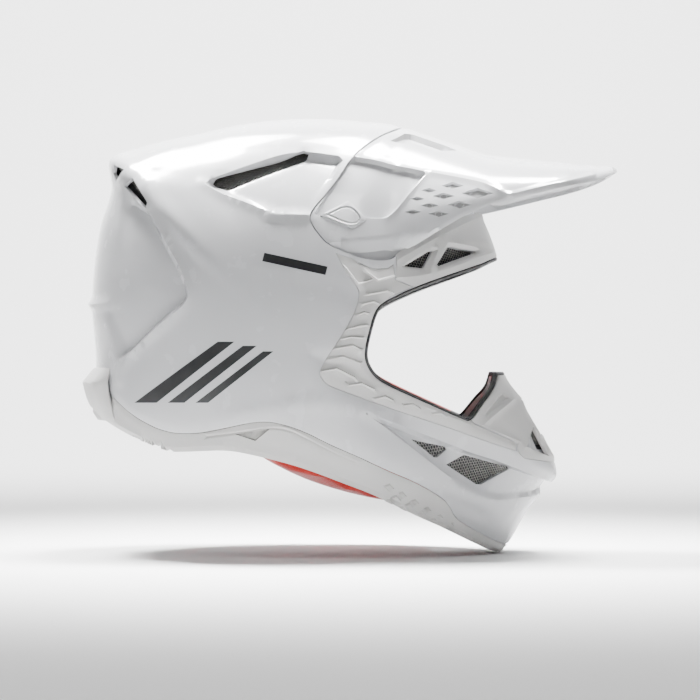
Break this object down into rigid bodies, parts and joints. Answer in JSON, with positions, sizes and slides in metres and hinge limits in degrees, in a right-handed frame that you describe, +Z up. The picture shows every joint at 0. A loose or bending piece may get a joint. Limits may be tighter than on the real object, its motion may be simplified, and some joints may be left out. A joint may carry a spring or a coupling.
{
  "type": "motocross helmet",
  "caption": "Full-face off-road helmet with a long tilting visor, vented shell, goggle port, foam liner, cheek pads and D-ring strap.",
  "frame": {"origin": "middle of the head cavity, level with the ears, on the plane of symmetry", "axes": "+X to the front, +Y to the wearer's left, +Z up, as worn"},
  "size_m": [0.385, 0.2412, 0.3113],
  "materials": {
    "gloss_white_shell": "glossy white lacquer",
    "warm_white_trim": "satin warm white plastic",
    "black_mesh": "black moulded mesh",
    "black_rubber": "black rubber",
    "foam_eps": "black expanded foam",
    "dark_liner_fabric": "dark brushed fabric",
    "red_pad_fabric": "red knitted fabric",
    "black_plastic": "black moulded plastic",
    "black_webbing": "black nylon webbing",
    "bare_steel": "plated steel"
  },
  "bodies": {
    "helmet": {"outer_shell": "gloss_white_shell", "eyeport_trim_right": "warm_white_trim", "eyeport_trim_left": "warm_white_trim", "brow_vent_frame": "warm_white_trim", "mouthpiece": "warm_white_trim", "lower_rim_trim": "warm_white_trim", "rear_exhaust_cover": "warm_white_trim", "mouthpiece_mesh": "black_mesh", "chin_vent_mesh_right": "black_mesh", "chin_vent_mesh_left": "black_mesh", "top_vent_mesh_right": "black_mesh", "top_vent_mesh_left": "black_mesh", "brow_vent_mesh_right": "black_mesh", "brow_vent_mesh_left": "black_mesh", "rear_vent_mesh_right": "black_mesh", "rear_vent_mesh_left": "black_mesh", "eyeport_edge_seal": "black_rubber", "eps_liner": "foam_eps", "chin_eps": "foam_eps", "crown_pad": "dark_liner_fabric", "neck_roll": "dark_liner_fabric", "cheek_pad_right": "red_pad_fabric", "cheek_pad_left": "red_pad_fabric", "cheek_pad_plate_right": "black_plastic", "cheek_pad_plate_left": "black_plastic", "cheek_pad_snaps": "black_plastic", "visor_pivot_right": "black_plastic", "visor_pivot_left": "black_plastic", "visor_centre_boss": "black_plastic", "chin_strap_right": "black_webbing", "chin_strap_left": "black_webbing", "strap_anchor_plates": "bare_steel", "strap_rivets": "bare_steel"},
    "visor": {"visor": "gloss_white_shell", "visor_side_cap_right": "warm_white_trim", "visor_side_cap_left": "warm_white_trim"},
    "visor_centre_screw": {"visor_centre_screw": "bare_steel"},
    "d_ring_upper": {"d_ring_upper": "bare_steel"},
    "d_ring_lower": {"d_ring_lower": "bare_steel"}
  },
  "joints": [
    {"name": "visor_tilt", "type": "hinge", "parent": "helmet", "child": "visor", "pos_m": [0.041, 0, 0.0925], "axis": [0, 1, 0], "range_deg": [0, 0.8]},
    {"name": "visor_centre_screw_turn", "type": "hinge", "parent": "helmet", "child": "visor_centre_screw", "pos_m": [0.097, 0, 0.155], "axis": [0.3173, 0, 0.9483], "continuous": true},
    {"name": "d_ring_upper_swing", "type": "hinge", "parent": "helmet", "child": "d_ring_upper", "pos_m": [0.002, 0.033, -0.0646], "axis": [1, 0, 0], "range_deg": [-60, 0]},
    {"name": "d_ring_lower_swing", "type": "hinge", "parent": "helmet", "child": "d_ring_lower", "pos_m": [0.002, 0.033, -0.0682], "axis": [1, 0, 0], "range_deg": [-75, 0]}
  ]
}
